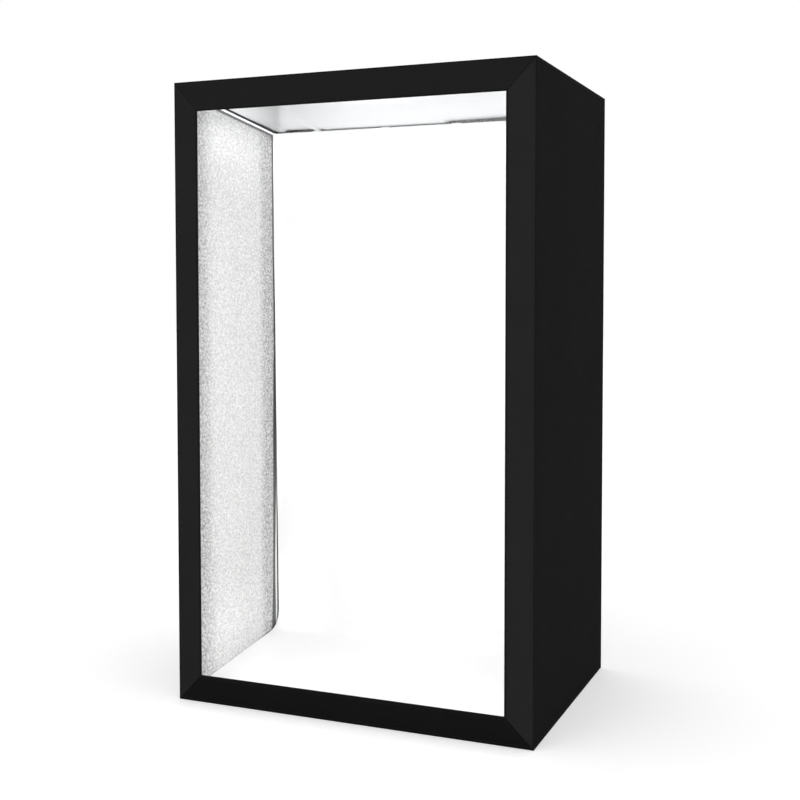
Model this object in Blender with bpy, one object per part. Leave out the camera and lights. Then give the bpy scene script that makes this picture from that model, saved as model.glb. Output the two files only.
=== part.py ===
"""Free-standing photo light box as tall as a person, its open front facing -Y.

Steel tubes in moulded corners carry a black cover with a mitred front, silver linings,
a white backdrop that sweeps forward onto the front rail, and a ceiling diffuser. Two LED
bars above the diffuser slide along the side rails and tilt in their hangers.
All lengths are in metres. The box stands on Z = 0 and is centred on X and Y.
"""
import math

import bmesh
import bpy

# Overall size of the box
width = 1.20
depth = 0.85
height = 2.00

# Clearance between two pieces that touch, and how far a cutter runs past a face
seat_gap = 0.0003
cut_overrun = 0.002

# Black cover and the stiffened flaps of its mitred front
cover_thickness = 0.002
flap_thickness = 0.004
flap_width = 0.090

# Frame tubes and the corner mouldings that they plug into
tube_radius = 0.0095
tube_wall = 0.0012
tube_sides = 16
socket_wall = 0.0025
socket_reach = 0.052
socket_floor = 0.0145

# Silver linings, which hang inside the tubes
lining_thickness = 0.0015
lining_drop = 0.0135

# White backdrop, from over the front rail up to the rod that it is clipped to
backdrop_thickness = 0.0012
backdrop_side_gap = 0.0065
floor_slope_degrees = 5.9
sweep_radius = 0.070
sweep_steps = 10
rod_radius = 0.006
rod_wall = 0.001
rod_setback = 0.630
rod_drop = 0.095
rod_end_gap = 0.001
wrap_end_degrees = 40
wrap_steps = 8

# Clips that hold the backdrop on its rod
clip_wall = 0.002
clip_width = 0.030
clip_count = 4
clip_end_inset = 0.165
clip_jaw_degrees = 10
clip_steps = 12

# Ceiling diffuser, laid over the front rail and the backdrop clips
diffuser_thickness = 0.0012
diffuser_tail = 0.012

# Room round the front corner mouldings, left by the sheets laid between them
sheet_corner_gap = 0.004

# Hangers on the side rails, for the LED bars and for the backdrop rod
hanger_width = 0.018
hanger_plate_thickness = 0.003
hanger_plate_gap = 0.0013
hanger_arm_height = 0.008
hanger_eye_margin = 0.0045
hook_mouth_degrees = 60
hook_steps = 12

# LED bars
bar_setbacks = {"front": 0.380, "rear": 0.520}
bar_drop = 0.0135
bar_width = 0.036
bar_height = 0.012
bar_wall = 0.0015
bar_lip = 0.0025
bar_cap_length = 0.014
pivot_radius = 0.003
lens_thickness = 0.0015
board_width = 0.010
board_thickness = 0.0012
chip_height = 0.0008
chip_length = 0.005
chip_count = 24

# Power inlets of the LED bars
inlet_radius = 0.0046
inlet_length = 0.012
inlet_bore_radius = 0.00325
inlet_bore_depth = 0.009
round_sides = 20

# Places that follow from the sizes above
front_face = -depth / 2
rear_face = depth / 2
socket_radius = tube_radius + seat_gap + socket_wall
socket_flat = socket_radius * math.cos(math.pi / tube_sides)
frame_inset = cover_thickness + seat_gap + socket_flat
rail_x = width / 2 - frame_inset
front_tube_y = front_face + flap_thickness + seat_gap + socket_flat
rear_tube_y = rear_face - frame_inset
bottom_rail_z = frame_inset
top_rail_z = height - frame_inset
lining_outer_x = rail_x - socket_flat - seat_gap
lining_inner_x = lining_outer_x - lining_thickness
lining_front_y = front_tube_y + socket_flat + seat_gap
lining_rear_y = rear_tube_y - socket_flat - seat_gap
lining_top_z = top_rail_z - lining_drop
floor_top_z = cover_thickness + seat_gap
backdrop_x = lining_inner_x - backdrop_side_gap
sheet_front_y = front_tube_y - tube_radius
shoulder_y = lining_front_y + sheet_corner_gap
tongue_x = rail_x - socket_reach - sheet_corner_gap
rod_y = front_face + rod_setback
rod_z = height - rod_drop
wrap_radius = rod_radius + seat_gap + backdrop_thickness / 2
clip_inner_radius = wrap_radius + backdrop_thickness / 2 + seat_gap
clip_outer_radius = clip_inner_radius + clip_wall
plate_near = rail_x - lining_inner_x + hanger_plate_gap
plate_far = plate_near + hanger_plate_thickness
cap_outer_x = rail_x - plate_far - seat_gap
cap_inner_x = cap_outer_x - bar_cap_length

# Looks: colour, roughness and metallic value of each material
finishes = {
    "black_cover_cloth": ((0.014, 0.014, 0.015), 0.85, 0.0),
    "black_flap_cloth": ((0.020, 0.020, 0.021), 0.80, 0.0),
    "silver_lining_cloth": ((0.74, 0.75, 0.76), 0.45, 0.55),
    "white_backdrop": ((0.93, 0.93, 0.93), 0.60, 0.0),
    "white_diffuser": ((0.88, 0.90, 0.93), 0.70, 0.0),
    "frame_steel": ((0.62, 0.63, 0.64), 0.35, 0.9),
    "corner_plastic": ((0.03, 0.03, 0.03), 0.50, 0.0),
    "hanger_plastic": ((0.05, 0.05, 0.05), 0.45, 0.0),
    "clip_plastic": ((0.85, 0.85, 0.84), 0.40, 0.0),
    "bar_aluminium": ((0.78, 0.79, 0.80), 0.30, 1.0),
    "frosted_lens": ((0.92, 0.93, 0.94), 0.40, 0.0),
    "led_board": ((0.90, 0.84, 0.52), 0.40, 0.0),
    "inlet_plastic": ((0.02, 0.02, 0.02), 0.35, 0.0),
}

# For a piece extruded along an axis: the outline's two axes, then that axis
outline_axes = {"X": (1, 2, 0), "Y": (0, 2, 1), "Z": (0, 1, 2)}


def clear_scene():
    for item in list(bpy.data.objects):
        bpy.data.objects.remove(item)


def material(finish):
    found = bpy.data.materials.get(finish)
    if found:
        return found
    colour, roughness, metallic = finishes[finish]
    made = bpy.data.materials.new(finish)
    made.use_nodes = True
    shader = made.node_tree.nodes["Principled BSDF"]
    shader.inputs["Base Color"].default_value = (*colour, 1.0)
    shader.inputs["Roughness"].default_value = roughness
    shader.inputs["Metallic"].default_value = metallic
    made.diffuse_color = (*colour, 1.0)
    return made


def finish_mesh(name, shape, finish, smooth=False):
    bmesh.ops.recalc_face_normals(shape, faces=shape.faces)
    mesh = bpy.data.meshes.new(name)
    shape.to_mesh(mesh)
    shape.free()
    mesh.materials.append(material(finish))
    if smooth:
        mesh.shade_smooth()
        mesh.set_sharp_from_angle(angle=math.radians(35))
    piece = bpy.data.objects.new(name, mesh)
    bpy.context.scene.collection.objects.link(piece)
    return piece


def place(piece, location, parent=None):
    piece.location = location
    piece.parent = parent
    return piece


def polygon(radius, sides):
    """Corners of a regular polygon with flats square to its axes."""
    step = 2 * math.pi / sides
    angles = [(corner + 0.5) * step for corner in range(sides)]
    return [(radius * math.cos(angle), radius * math.sin(angle)) for angle in angles]


def arc(centre, radius, start_degrees, end_degrees, steps):
    points = []
    for step in range(steps + 1):
        turn = start_degrees + (end_degrees - start_degrees) * step / steps
        angle = math.radians(turn)
        points.append((centre[0] + radius * math.cos(angle), centre[1] + radius * math.sin(angle)))
    return points


def ring_of_points(shape, outline, axis, height_along):
    first, second, along = outline_axes[axis]
    ring = []
    for point in outline:
        corner = [0.0, 0.0, 0.0]
        corner[first] = point[0]
        corner[second] = point[1]
        corner[along] = height_along
        ring.append(shape.verts.new(corner))
    return ring


def bridge(shape, ring, other):
    for index, corner in enumerate(ring):
        previous = index - 1
        shape.faces.new((ring[previous], corner, other[index], other[previous]))


def extrude(name, outline, axis, low, high, finish, smooth=False):
    """A solid whose outline is the same all along one axis."""
    shape = bmesh.new()
    low_ring = ring_of_points(shape, outline, axis, low)
    high_ring = ring_of_points(shape, outline, axis, high)
    shape.faces.new(low_ring)
    shape.faces.new(high_ring)
    bridge(shape, low_ring, high_ring)
    return finish_mesh(name, shape, finish, smooth)


def slab(name, x_range, y_range, z_range, finish):
    """A flat panel, with its origin at its centre."""
    centre = [(low + high) / 2 for low, high in (x_range, y_range, z_range)]
    half = [(high - low) / 2 for low, high in (x_range, y_range, z_range)]
    outline = [(-half[0], -half[1]), (half[0], -half[1]), (half[0], half[1]), (-half[0], half[1])]
    panel = extrude(name, outline, "Z", -half[2], half[2], finish)
    return place(panel, centre)


def tube(name, axis, length, radius, wall, finish):
    """A hollow tube, open at both ends, centred on its own middle."""
    shape = bmesh.new()
    outer = polygon(radius, tube_sides)
    inner = polygon(radius - wall, tube_sides)
    rings = []
    for outline, end in ((outer, -1), (outer, 1), (inner, 1), (inner, -1)):
        rings.append(ring_of_points(shape, outline, axis, end * length / 2))
    for index, ring in enumerate(rings):
        bridge(shape, rings[index - 1], ring)
    return finish_mesh(name, shape, finish, smooth=True)


def combine(body, tool, operation):
    """Join a tool to a body, or cut it out, and take the tool away."""
    modifier = body.modifiers.new("combine", "BOOLEAN")
    modifier.operation = operation
    modifier.solver = "EXACT"
    modifier.object = tool
    graph = bpy.context.evaluated_depsgraph_get()
    body.data = bpy.data.meshes.new_from_object(body.evaluated_get(graph))
    body.modifiers.clear()
    bpy.data.objects.remove(tool)


def make_tubes():
    """Twelve tubes, each ending just short of the floors of its two sockets."""
    inset = 2 * (socket_floor + seat_gap)
    across = 2 * rail_x - inset
    along = rear_tube_y - front_tube_y - inset
    upright = top_rail_z - bottom_rail_z - inset
    ends = (("front", front_tube_y), ("rear", rear_tube_y))
    levels = (("bottom", bottom_rail_z), ("top", top_rail_z))
    sides = (("left", -rail_x), ("right", rail_x))
    for end, y in ends:
        for level, z in levels:
            rail = tube(f"rail_{end}_{level}", "X", across, tube_radius, tube_wall, "frame_steel")
            place(rail, (0, y, z))
        for side, x in sides:
            post = tube(f"post_{end}_{side}", "Z", upright, tube_radius, tube_wall, "frame_steel")
            place(post, (x, y, (bottom_rail_z + top_rail_z) / 2))
    for side, x in sides:
        for level, z in levels:
            rail = tube(f"rail_{side}_{level}", "Y", along, tube_radius, tube_wall, "frame_steel")
            place(rail, (x, (front_tube_y + rear_tube_y) / 2, z))


def make_corner(name, inward, location):
    """A moulded corner whose three sockets point into the box."""
    sleeve = polygon(socket_radius, tube_sides)
    bore = polygon(tube_radius + seat_gap, tube_sides)
    corner = None
    for axis, way in zip("XYZ", inward):
        ends = sorted((-way * socket_flat, way * socket_reach))
        arm = extrude(name, sleeve, axis, *ends, "corner_plastic")
        if corner is None:
            corner = arm
        else:
            combine(corner, arm, "UNION")
    for axis, way in zip("XYZ", inward):
        ends = sorted((way * socket_floor, way * (socket_reach + cut_overrun)))
        combine(corner, extrude("bore", bore, axis, *ends, "corner_plastic"), "DIFFERENCE")
    corner.name = name
    return place(corner, location)


def make_corners():
    for side, x, inward_x in (("left", -rail_x, 1), ("right", rail_x, -1)):
        for end, y, inward_y in (("front", front_tube_y, 1), ("rear", rear_tube_y, -1)):
            for level, z, inward_z in (("bottom", bottom_rail_z, 1), ("top", top_rail_z, -1)):
                name = f"corner_{end}_{level}_{side}"
                make_corner(name, (inward_x, inward_y, inward_z), (x, y, z))


def make_cover():
    """Five panels of the sewn cover, behind the front flaps."""
    half = width / 2
    inner_half = half - cover_thickness
    front = front_face + flap_thickness + seat_gap
    rear = rear_face - cover_thickness - seat_gap
    y_range = (front, rear)
    z_range = (floor_top_z, height - floor_top_z)
    cloth = "black_cover_cloth"
    slab("cover_left", (-half, -inner_half), y_range, z_range, cloth)
    slab("cover_right", (inner_half, half), y_range, z_range, cloth)
    slab("cover_bottom", (-half, half), y_range, (0, cover_thickness), cloth)
    slab("cover_top", (-half, half), y_range, (height - cover_thickness, height), cloth)
    slab("cover_rear", (-half, half), (rear_face - cover_thickness, rear_face), (0, height), cloth)


def make_flap(name, corners):
    place(
        extrude(name, corners, "Y", -flap_thickness / 2, flap_thickness / 2, "black_flap_cloth"),
        (0, front_face + flap_thickness / 2, height / 2),
    )


def make_flaps():
    """The mitred front: four flaps that meet on the diagonals of its corners."""
    mitre = seat_gap / math.sqrt(2)
    outer_x = width / 2
    inner_x = outer_x - flap_width
    outer_z = height / 2
    inner_z = outer_z - flap_width
    for name, way in (("flap_top", 1), ("flap_bottom", -1)):
        corners = [(-outer_x + mitre, way * outer_z), (outer_x - mitre, way * outer_z)]
        corners += [(inner_x - mitre, way * inner_z), (-inner_x + mitre, way * inner_z)]
        make_flap(name, corners)
    for name, way in (("flap_left", -1), ("flap_right", 1)):
        corners = [(way * outer_x, -outer_z + mitre), (way * outer_x, outer_z - mitre)]
        corners += [(way * inner_x, inner_z - mitre), (way * inner_x, -inner_z + mitre)]
        make_flap(name, corners)


def make_linings():
    """Silver sheets on the inner side of the tubes, left, right and rear."""
    z_range = (floor_top_z, lining_top_z)
    y_range = (lining_front_y, lining_rear_y)
    cloth = "silver_lining_cloth"
    slab("lining_left", (-lining_outer_x, -lining_inner_x), y_range, z_range, cloth)
    slab("lining_right", (lining_inner_x, lining_outer_x), y_range, z_range, cloth)
    rear_x = lining_inner_x - seat_gap
    rear_y_range = (lining_rear_y - lining_thickness, lining_rear_y)
    slab("lining_rear", (-rear_x, rear_x), rear_y_range, z_range, cloth)


def ribbon(path, thickness):
    """The closed outline of a sheet of even thickness along a path of points."""
    sides = ([], [])
    last = len(path) - 1
    for index, point in enumerate(path):
        before = path[max(index - 1, 0)]
        after = path[min(index + 1, last)]
        run = (after[0] - before[0], after[1] - before[1])
        length = math.hypot(*run)
        for side, way in zip(sides, (1, -1)):
            offset = way * thickness / 2
            side.append((point[0] - offset * run[1] / length, point[1] + offset * run[0] / length))
    return sides[0] + sides[1][::-1]


def floor_point(y):
    """A point of the backdrop's sloping floor, which starts on top of the front rail."""
    over_rail_z = bottom_rail_z + tube_radius + seat_gap + backdrop_thickness / 2
    return (y, over_rail_z + (y - front_tube_y) * math.tan(math.radians(floor_slope_degrees)))


def backdrop_path():
    """From over the front rail, up the slope and the sweep, and over the rod."""
    slope = math.radians(floor_slope_degrees)
    centre_y = rod_y - wrap_radius - sweep_radius
    start = floor_point(centre_y + sweep_radius * math.sin(slope))
    centre = (centre_y, start[1] + sweep_radius * math.cos(slope))
    path = [floor_point(y) for y in (sheet_front_y, shoulder_y, shoulder_y + sheet_corner_gap)]
    path += arc(centre, sweep_radius, floor_slope_degrees - 90, 0, sweep_steps)
    path += arc((rod_y, rod_z), wrap_radius, 180, wrap_end_degrees, wrap_steps)
    return path


def make_backdrop_sheet():
    """One sheet, narrow where it lies between the sockets of the front rail."""
    path = backdrop_path()
    outline = ribbon(path, backdrop_thickness)
    shape = bmesh.new()
    rings = []
    for index in range(len(path)):
        half = tongue_x if index < 2 else backdrop_x
        low, high = outline[index], outline[-1 - index]
        corners = [(-half, *low), (half, *low), (half, *high), (-half, *high)]
        rings.append([shape.verts.new(corner) for corner in corners])
    for ring, following in zip(rings, rings[1:]):
        bridge(shape, ring, following)
    shape.faces.new(rings[0])
    shape.faces.new(rings[-1])
    finish_mesh("backdrop_sheet", shape, "white_backdrop", smooth=True)


def make_backdrop():
    make_backdrop_sheet()
    rod_length = 2 * (lining_inner_x - rod_end_gap)
    rod = tube("backdrop_rod", "X", rod_length, rod_radius, rod_wall, "frame_steel")
    place(rod, (0, rod_y, rod_z))
    clip = arc((0, 0), clip_outer_radius, -clip_jaw_degrees, 180 + clip_jaw_degrees, clip_steps)
    clip += arc((0, 0), clip_inner_radius, 180 + clip_jaw_degrees, -clip_jaw_degrees, clip_steps)
    outermost_x = backdrop_x - clip_end_inset
    for number in range(clip_count):
        name = f"backdrop_clip_{number + 1}"
        x = outermost_x * (2 * number / (clip_count - 1) - 1)
        piece = extrude(name, clip, "X", -clip_width / 2, clip_width / 2, "clip_plastic", smooth=True)
        place(piece, (x, rod_y, rod_z))


def make_diffuser():
    """A sheet laid over the front rail, between its sockets, and down to the clips."""
    front_z = top_rail_z + tube_radius + seat_gap
    rear_z = rod_z + clip_outer_radius + seat_gap
    slope = (rear_z - front_z) / (rod_y - front_tube_y)
    tail_y = rod_y + diffuser_tail
    plan = [(-tongue_x, sheet_front_y), (tongue_x, sheet_front_y)]
    plan += [(tongue_x, shoulder_y), (backdrop_x, shoulder_y), (backdrop_x, tail_y)]
    plan += [(-backdrop_x, tail_y), (-backdrop_x, shoulder_y), (-tongue_x, shoulder_y)]
    sheet = extrude("ceiling_diffuser", plan, "Z", 0, diffuser_thickness, "white_diffuser")
    for corner in sheet.data.vertices:
        corner.co.z += front_z + slope * (corner.co.y - front_tube_y)
    return sheet


def make_hanger(name, side, drop, pin_radius, location, parent=None):
    """A hook over the side rail with a plate inside the lining and an eye in the plate."""
    arm = hanger_arm_height / 2
    meet_degrees = math.degrees(math.asin(arm / socket_radius))
    mouth_start = -90 + hook_mouth_degrees / 2
    mouth_end = 270 - hook_mouth_degrees / 2
    foot = drop + pin_radius + hanger_eye_margin
    outline = arc((0, 0), socket_radius, mouth_start, -meet_degrees, 2)
    outline += [(plate_near, -arm), (plate_near, -foot), (plate_far, -foot), (plate_far, arm)]
    outline += arc((0, 0), socket_radius, meet_degrees, mouth_end, hook_steps)
    outline += arc((0, 0), tube_radius + seat_gap, mouth_end, mouth_start, hook_steps)
    outline = [(-side * point[0], point[1]) for point in outline]
    half = hanger_width / 2
    hanger = extrude(name, outline, "Y", -half, half, "hanger_plastic")
    eye_outline = [(y, z - drop) for y, z in polygon(pin_radius + seat_gap, tube_sides)]
    eye_ends = sorted((-side * (plate_near - cut_overrun / 2), -side * (plate_far + cut_overrun)))
    eye = extrude("eye", eye_outline, "X", *eye_ends, "hanger_plastic")
    combine(hanger, eye, "DIFFERENCE")
    return place(hanger, location, parent)


def make_rod_hangers():
    for side, way in (("left", -1), ("right", 1)):
        location = (way * rail_x, rod_y, top_rail_z)
        make_hanger(f"rod_hanger_{side}", way, top_rail_z - rod_z, rod_radius, location)


def make_housing(name, parent):
    """An aluminium channel, open below between two lips."""
    half = bar_width / 2
    inner = half - bar_wall
    lip = inner - bar_lip
    top = bar_height / 2
    channel = [(-half, top), (half, top), (half, -top), (lip, -top), (lip, -top + bar_wall)]
    channel += [(inner, -top + bar_wall), (inner, top - bar_wall), (-inner, top - bar_wall)]
    channel += [(-inner, -top + bar_wall), (-lip, -top + bar_wall), (-lip, -top), (-half, -top)]
    end = cap_inner_x - seat_gap
    place(extrude(name, channel, "X", -end, end, "bar_aluminium"), (0, 0, 0), parent)


def make_lens(name, parent):
    """A frosted strip that lies on the lips of the channel."""
    half = bar_width / 2 - bar_wall - seat_gap
    low = -bar_height / 2 + bar_wall + seat_gap
    outline = [(-half, low), (half, low), (half, low + lens_thickness), (-half, low + lens_thickness)]
    end = cap_inner_x - seat_gap
    place(extrude(name, outline, "X", -end, end, "frosted_lens"), (0, 0, 0), parent)


def make_led_board(name, parent):
    """A board under the roof of the channel, with a row of LED chips."""
    end = cap_inner_x - seat_gap
    top = bar_height / 2 - bar_wall - seat_gap
    under = top - board_thickness
    pitch = 2 * end / chip_count
    outline = [(end, top), (-end, top), (-end, under)]
    for number in range(chip_count):
        middle = -end + pitch * (number + 0.5)
        left = middle - chip_length / 2
        right = middle + chip_length / 2
        outline += [(left, under), (left, under - chip_height)]
        outline += [(right, under - chip_height), (right, under)]
    outline += [(end, under)]
    half = board_width / 2
    place(extrude(name, outline, "Y", -half, half, "led_board"), (0, 0, 0), parent)


def make_cap(name, way, parent):
    """An end cap with the pivot that turns in the hanger's eye."""
    half = bar_width / 2
    top = bar_height / 2
    block = [(-half, -top), (half, -top), (half, top), (-half, top)]
    cap = extrude(name, block, "X", *sorted((way * cap_inner_x, way * cap_outer_x)), "hanger_plastic")
    pivot_tip = cap_outer_x + seat_gap + hanger_plate_thickness
    pivot_root = cap_outer_x - bar_cap_length / 2
    ends = sorted((way * pivot_root, way * pivot_tip))
    pivot = extrude("pivot", polygon(pivot_radius, tube_sides), "X", *ends, "hanger_plastic")
    combine(cap, pivot, "UNION")
    place(cap, (0, 0, 0), parent)


def make_inlet(name, parent):
    """The power socket on the rear side of the left end cap."""
    start = bar_width / 2 + seat_gap
    end = start + inlet_length
    barrel = polygon(inlet_radius, round_sides)
    bore = polygon(inlet_bore_radius, round_sides)
    inlet = extrude(name, barrel, "Y", start, end, "inlet_plastic")
    hole = extrude("hole", bore, "Y", end - inlet_bore_depth, end + cut_overrun, "inlet_plastic")
    combine(inlet, hole, "DIFFERENCE")
    place(inlet, (-(cap_inner_x + cap_outer_x) / 2, 0, 0), parent)


def add_empty(name, location, parent=None):
    empty = bpy.data.objects.new(name, None)
    bpy.context.scene.collection.objects.link(empty)
    return place(empty, location, parent)


def make_light_bar(end, setback):
    """One LED bar: its hangers slide on the side rails, and it tilts about its pivots."""
    y = front_face + setback
    carriage = add_empty(f"{end}_bar_carriage", (0, y, top_rail_z))
    tilt_axis = add_empty(f"{end}_bar_axis", (0, 0, -bar_drop), carriage)
    for side, way in (("left", -1), ("right", 1)):
        place_on_rail = (way * rail_x, 0, 0)
        name = f"{end}_bar_hanger_{side}"
        make_hanger(name, way, bar_drop, pivot_radius, place_on_rail, carriage)
        make_cap(f"{end}_bar_cap_{side}", way, tilt_axis)
    make_housing(f"{end}_bar_housing", tilt_axis)
    make_lens(f"{end}_bar_lens", tilt_axis)
    make_led_board(f"{end}_bar_led_board", tilt_axis)
    make_inlet(f"{end}_bar_inlet", tilt_axis)


def make_light_box():
    clear_scene()
    make_tubes()
    make_corners()
    make_cover()
    make_flaps()
    make_linings()
    make_backdrop()
    make_rod_hangers()
    make_diffuser()
    for end, setback in bar_setbacks.items():
        make_light_bar(end, setback)


make_light_box()
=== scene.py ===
"""Looks of the photo light box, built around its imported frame.

Every size comes from the frame or from the named values below, in metres.
"""
import math

import bmesh
import bpy
import numpy as np
from mathutils import Euler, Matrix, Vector


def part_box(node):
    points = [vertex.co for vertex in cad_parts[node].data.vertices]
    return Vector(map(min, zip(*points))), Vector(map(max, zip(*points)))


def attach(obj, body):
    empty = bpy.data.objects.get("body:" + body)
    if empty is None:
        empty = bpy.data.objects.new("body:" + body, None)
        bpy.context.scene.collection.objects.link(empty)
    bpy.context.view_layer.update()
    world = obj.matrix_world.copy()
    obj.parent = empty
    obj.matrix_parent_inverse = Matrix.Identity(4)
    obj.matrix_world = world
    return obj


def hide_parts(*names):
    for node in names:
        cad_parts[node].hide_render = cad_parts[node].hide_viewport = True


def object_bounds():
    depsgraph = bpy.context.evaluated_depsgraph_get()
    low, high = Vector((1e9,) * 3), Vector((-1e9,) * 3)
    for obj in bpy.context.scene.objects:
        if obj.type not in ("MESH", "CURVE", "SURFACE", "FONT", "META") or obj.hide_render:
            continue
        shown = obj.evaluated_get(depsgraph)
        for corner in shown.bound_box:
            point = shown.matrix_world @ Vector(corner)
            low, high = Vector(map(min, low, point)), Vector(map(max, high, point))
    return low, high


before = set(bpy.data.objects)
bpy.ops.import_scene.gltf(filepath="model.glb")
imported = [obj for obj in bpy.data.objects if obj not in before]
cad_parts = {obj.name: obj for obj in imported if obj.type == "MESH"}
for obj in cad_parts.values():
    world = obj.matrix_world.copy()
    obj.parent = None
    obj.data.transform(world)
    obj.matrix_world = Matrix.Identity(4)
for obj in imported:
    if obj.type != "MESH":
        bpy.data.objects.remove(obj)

bl_info = {
    "name": "Photo light box",
    "version": (1, 0, 0),
    "blender": (4, 5, 0),
    "location": "View3D > Sidebar > Light box",
    "description": "Dresses the light box's frame in cloth, film and lit white sheets",
    "category": "Object",
}

PHOTO_PIXELS = 800
SENSOR_MILLIMETRES = 36
BOX_BODY = "light_box"
SIDES = (("left", -1), ("right", 1))
BAR_ENDS = ("front", "rear")

# Camera, from the perspective of the box's corners in the photograph
CAMERA_PLACE = (1.5722, -3.7969, 1.3331)
CAMERA_TURN_DEGREES = (87.339, 0.037, 22.416)
FOCAL_PIXELS = 1221.2
LEVEL_PIXELS = 51.8

# Lift of the ceiling sheet's rear edge off the backdrop's top, at places across in X
REAR_LIFTS = ((-0.56, 0.0030), (-0.54, 0.0030), (-0.53, 0.0098), (-0.44, 0.0086),
              (-0.412, 0.0074), (-0.4065, -0.0008), (-0.3955, -0.0008), (-0.390, 0.0078),
              (-0.380, 0.0062), (-0.370, 0.0032), (0.085, 0.0028), (0.110, 0.0100),
              (0.150, 0.0098), (0.320, 0.0130), (0.560, 0.0150))

# Painted shadow strip and pale tape on a side lining: how far before the rear wall each starts, at
# heights
TAPE_HEIGHTS = (0.0, 0.10, 0.17, 0.26, 0.35, 0.46, 0.63, 0.81, 0.98, 1.15, 1.33, 1.50, 1.75)
SHADOW_STRIP_STARTS = (0.043, 0.040, 0.036, 0.032, 0.030, 0.028, 0.026, 0.0265, 0.0225, 0.0148, 0.0190,
               0.0238, 0.0250)
TAPE_STARTS = (0.015, 0.014, 0.013, 0.0155, 0.0158, 0.0125, 0.008, 0.0065, 0.005, 0.0095, 0.008,
               0.011, 0.011)

# How far the backdrop's sides reach past its straight cut, at heights
EDGE_HEIGHTS = (0.12, 0.28, 0.45, 0.55, 0.65, 0.80, 0.98, 1.15, 1.33, 1.50, 1.75)
EDGE_REACHES = (0.0, 0.0012, 0.0012, 0.0006, -0.0012, -0.0034, -0.0016, -0.0003, 0.0018, 0.0040,
                0.0055)

SHEET_THICKNESS = 0.0012
CORNER_CLEARANCE = 0.004

# Box of the CAD model, kept from before anything is added
cad_bounds = [list(corner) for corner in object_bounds()]
BOX_LOW = Vector(cad_bounds[0])
BOX_HIGH = Vector(cad_bounds[1])


class LightBoxSizes(bpy.types.PropertyGroup):
    """Sizes of the cloth work."""

    cloth_cell: bpy.props.FloatProperty(
        name="Cloth cell", description="Grid cell of the cloth panels",
        default=0.016, min=0.004, unit="LENGTH")
    edge_round: bpy.props.FloatProperty(
        name="Edge rounding", description="Radius of a cloth panel's edge",
        default=0.0018, min=0.0002, unit="LENGTH")
    cover_slack: bpy.props.FloatProperty(
        name="Cover slack", description="How far a cover panel dips between the tubes",
        default=0.0022, min=0.0, unit="LENGTH")
    left_flap: bpy.props.FloatProperty(
        name="Left flap", description="Width of the front's left flap",
        default=0.0815, min=0.02, unit="LENGTH")
    right_flap: bpy.props.FloatProperty(
        name="Right flap", description="Width of the front's right flap",
        default=0.0895, min=0.02, unit="LENGTH")
    top_flap: bpy.props.FloatProperty(
        name="Top flap", description="Width of the front's top flap",
        default=0.093, min=0.02, unit="LENGTH")
    bottom_flap: bpy.props.FloatProperty(
        name="Bottom flap", description="Width of the front's bottom flap",
        default=0.0875, min=0.02, unit="LENGTH")
    piping_radius: bpy.props.FloatProperty(
        name="Piping radius", description="Radius of the piped seams of the cover",
        default=0.0022, min=0.0005, unit="LENGTH")
    binding_width: bpy.props.FloatProperty(
        name="Binding width", description="Width of the binding round the front opening",
        default=0.0055, min=0.001, unit="LENGTH")
    stitch_pitch: bpy.props.FloatProperty(
        name="Stitch pitch", description="Distance from one stitch to the next",
        default=0.0075, min=0.002, unit="LENGTH")
    stitch_length: bpy.props.FloatProperty(
        name="Stitch length", description="Length of one stitch",
        default=0.0046, min=0.001, unit="LENGTH")
    stitch_radius: bpy.props.FloatProperty(
        name="Stitch radius", description="Radius of the thread",
        default=0.0006, min=0.0001, unit="LENGTH")
    grain_size: bpy.props.FloatProperty(
        name="Pebble grain", description="Size of one pebble of the silver film",
        default=0.0075, min=0.001, unit="LENGTH")
    skirt_height: bpy.props.FloatProperty(
        name="Skirt height", description="How far the ceiling sheet's side skirts hang",
        default=0.0215, min=0.004, unit="LENGTH")
    edge_curl: bpy.props.FloatProperty(
        name="Edge curl", description="How far the backdrop's sides curl forward",
        default=0.016, min=0.0, unit="LENGTH")
    sheet_sag: bpy.props.FloatProperty(
        name="Ceiling sag", description="Sag of the ceiling sheet, deepest behind the front rail",
        default=0.0095, min=0.0, unit="LENGTH")


class LightBoxColours(bpy.types.PropertyGroup):
    """Colours of the cloth work."""

    cover: bpy.props.FloatVectorProperty(
        name="Cover", description="Black cloth of the cover panels",
        default=(0.0076, 0.0076, 0.0078), size=3, subtype="COLOR")
    flap: bpy.props.FloatVectorProperty(
        name="Flaps", description="Black cloth of the upright flaps",
        default=(0.0125, 0.0125, 0.0128), size=3, subtype="COLOR")
    piping: bpy.props.FloatVectorProperty(
        name="Piping", description="Black tape of the piping and the bindings",
        default=(0.003, 0.003, 0.003), size=3, subtype="COLOR")
    silver: bpy.props.FloatVectorProperty(
        name="Silver", description="Bright silver of the lining film",
        default=(0.865, 0.865, 0.862), size=3, subtype="COLOR")
    white: bpy.props.FloatVectorProperty(
        name="White", description="White of the backdrop",
        default=(0.95, 0.95, 0.95), size=3, subtype="COLOR")
    glow: bpy.props.FloatVectorProperty(
        name="Glow", description="Light that the ceiling sheet lets through",
        default=(0.975, 0.988, 1.0), size=3, subtype="COLOR")


def sizes():
    return bpy.context.scene.light_box_sizes


def colours():
    return bpy.context.scene.light_box_colours


class Field:
    """A number that varies over a surface, so that shader maths reads as an expression."""

    def __init__(self, nodes, socket):
        self.nodes = nodes
        self.socket = socket

    def __add__(self, other):
        return self.nodes.maths("ADD", self, other)

    def __sub__(self, other):
        return self.nodes.maths("SUBTRACT", self, other)

    def __mul__(self, other):
        return self.nodes.maths("MULTIPLY", self, other)

    def __truediv__(self, other):
        return self.nodes.maths("DIVIDE", self, other)

    def __rsub__(self, other):
        return self.nodes.maths("SUBTRACT", other, self)

    __radd__ = __add__
    __rmul__ = __mul__


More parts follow.
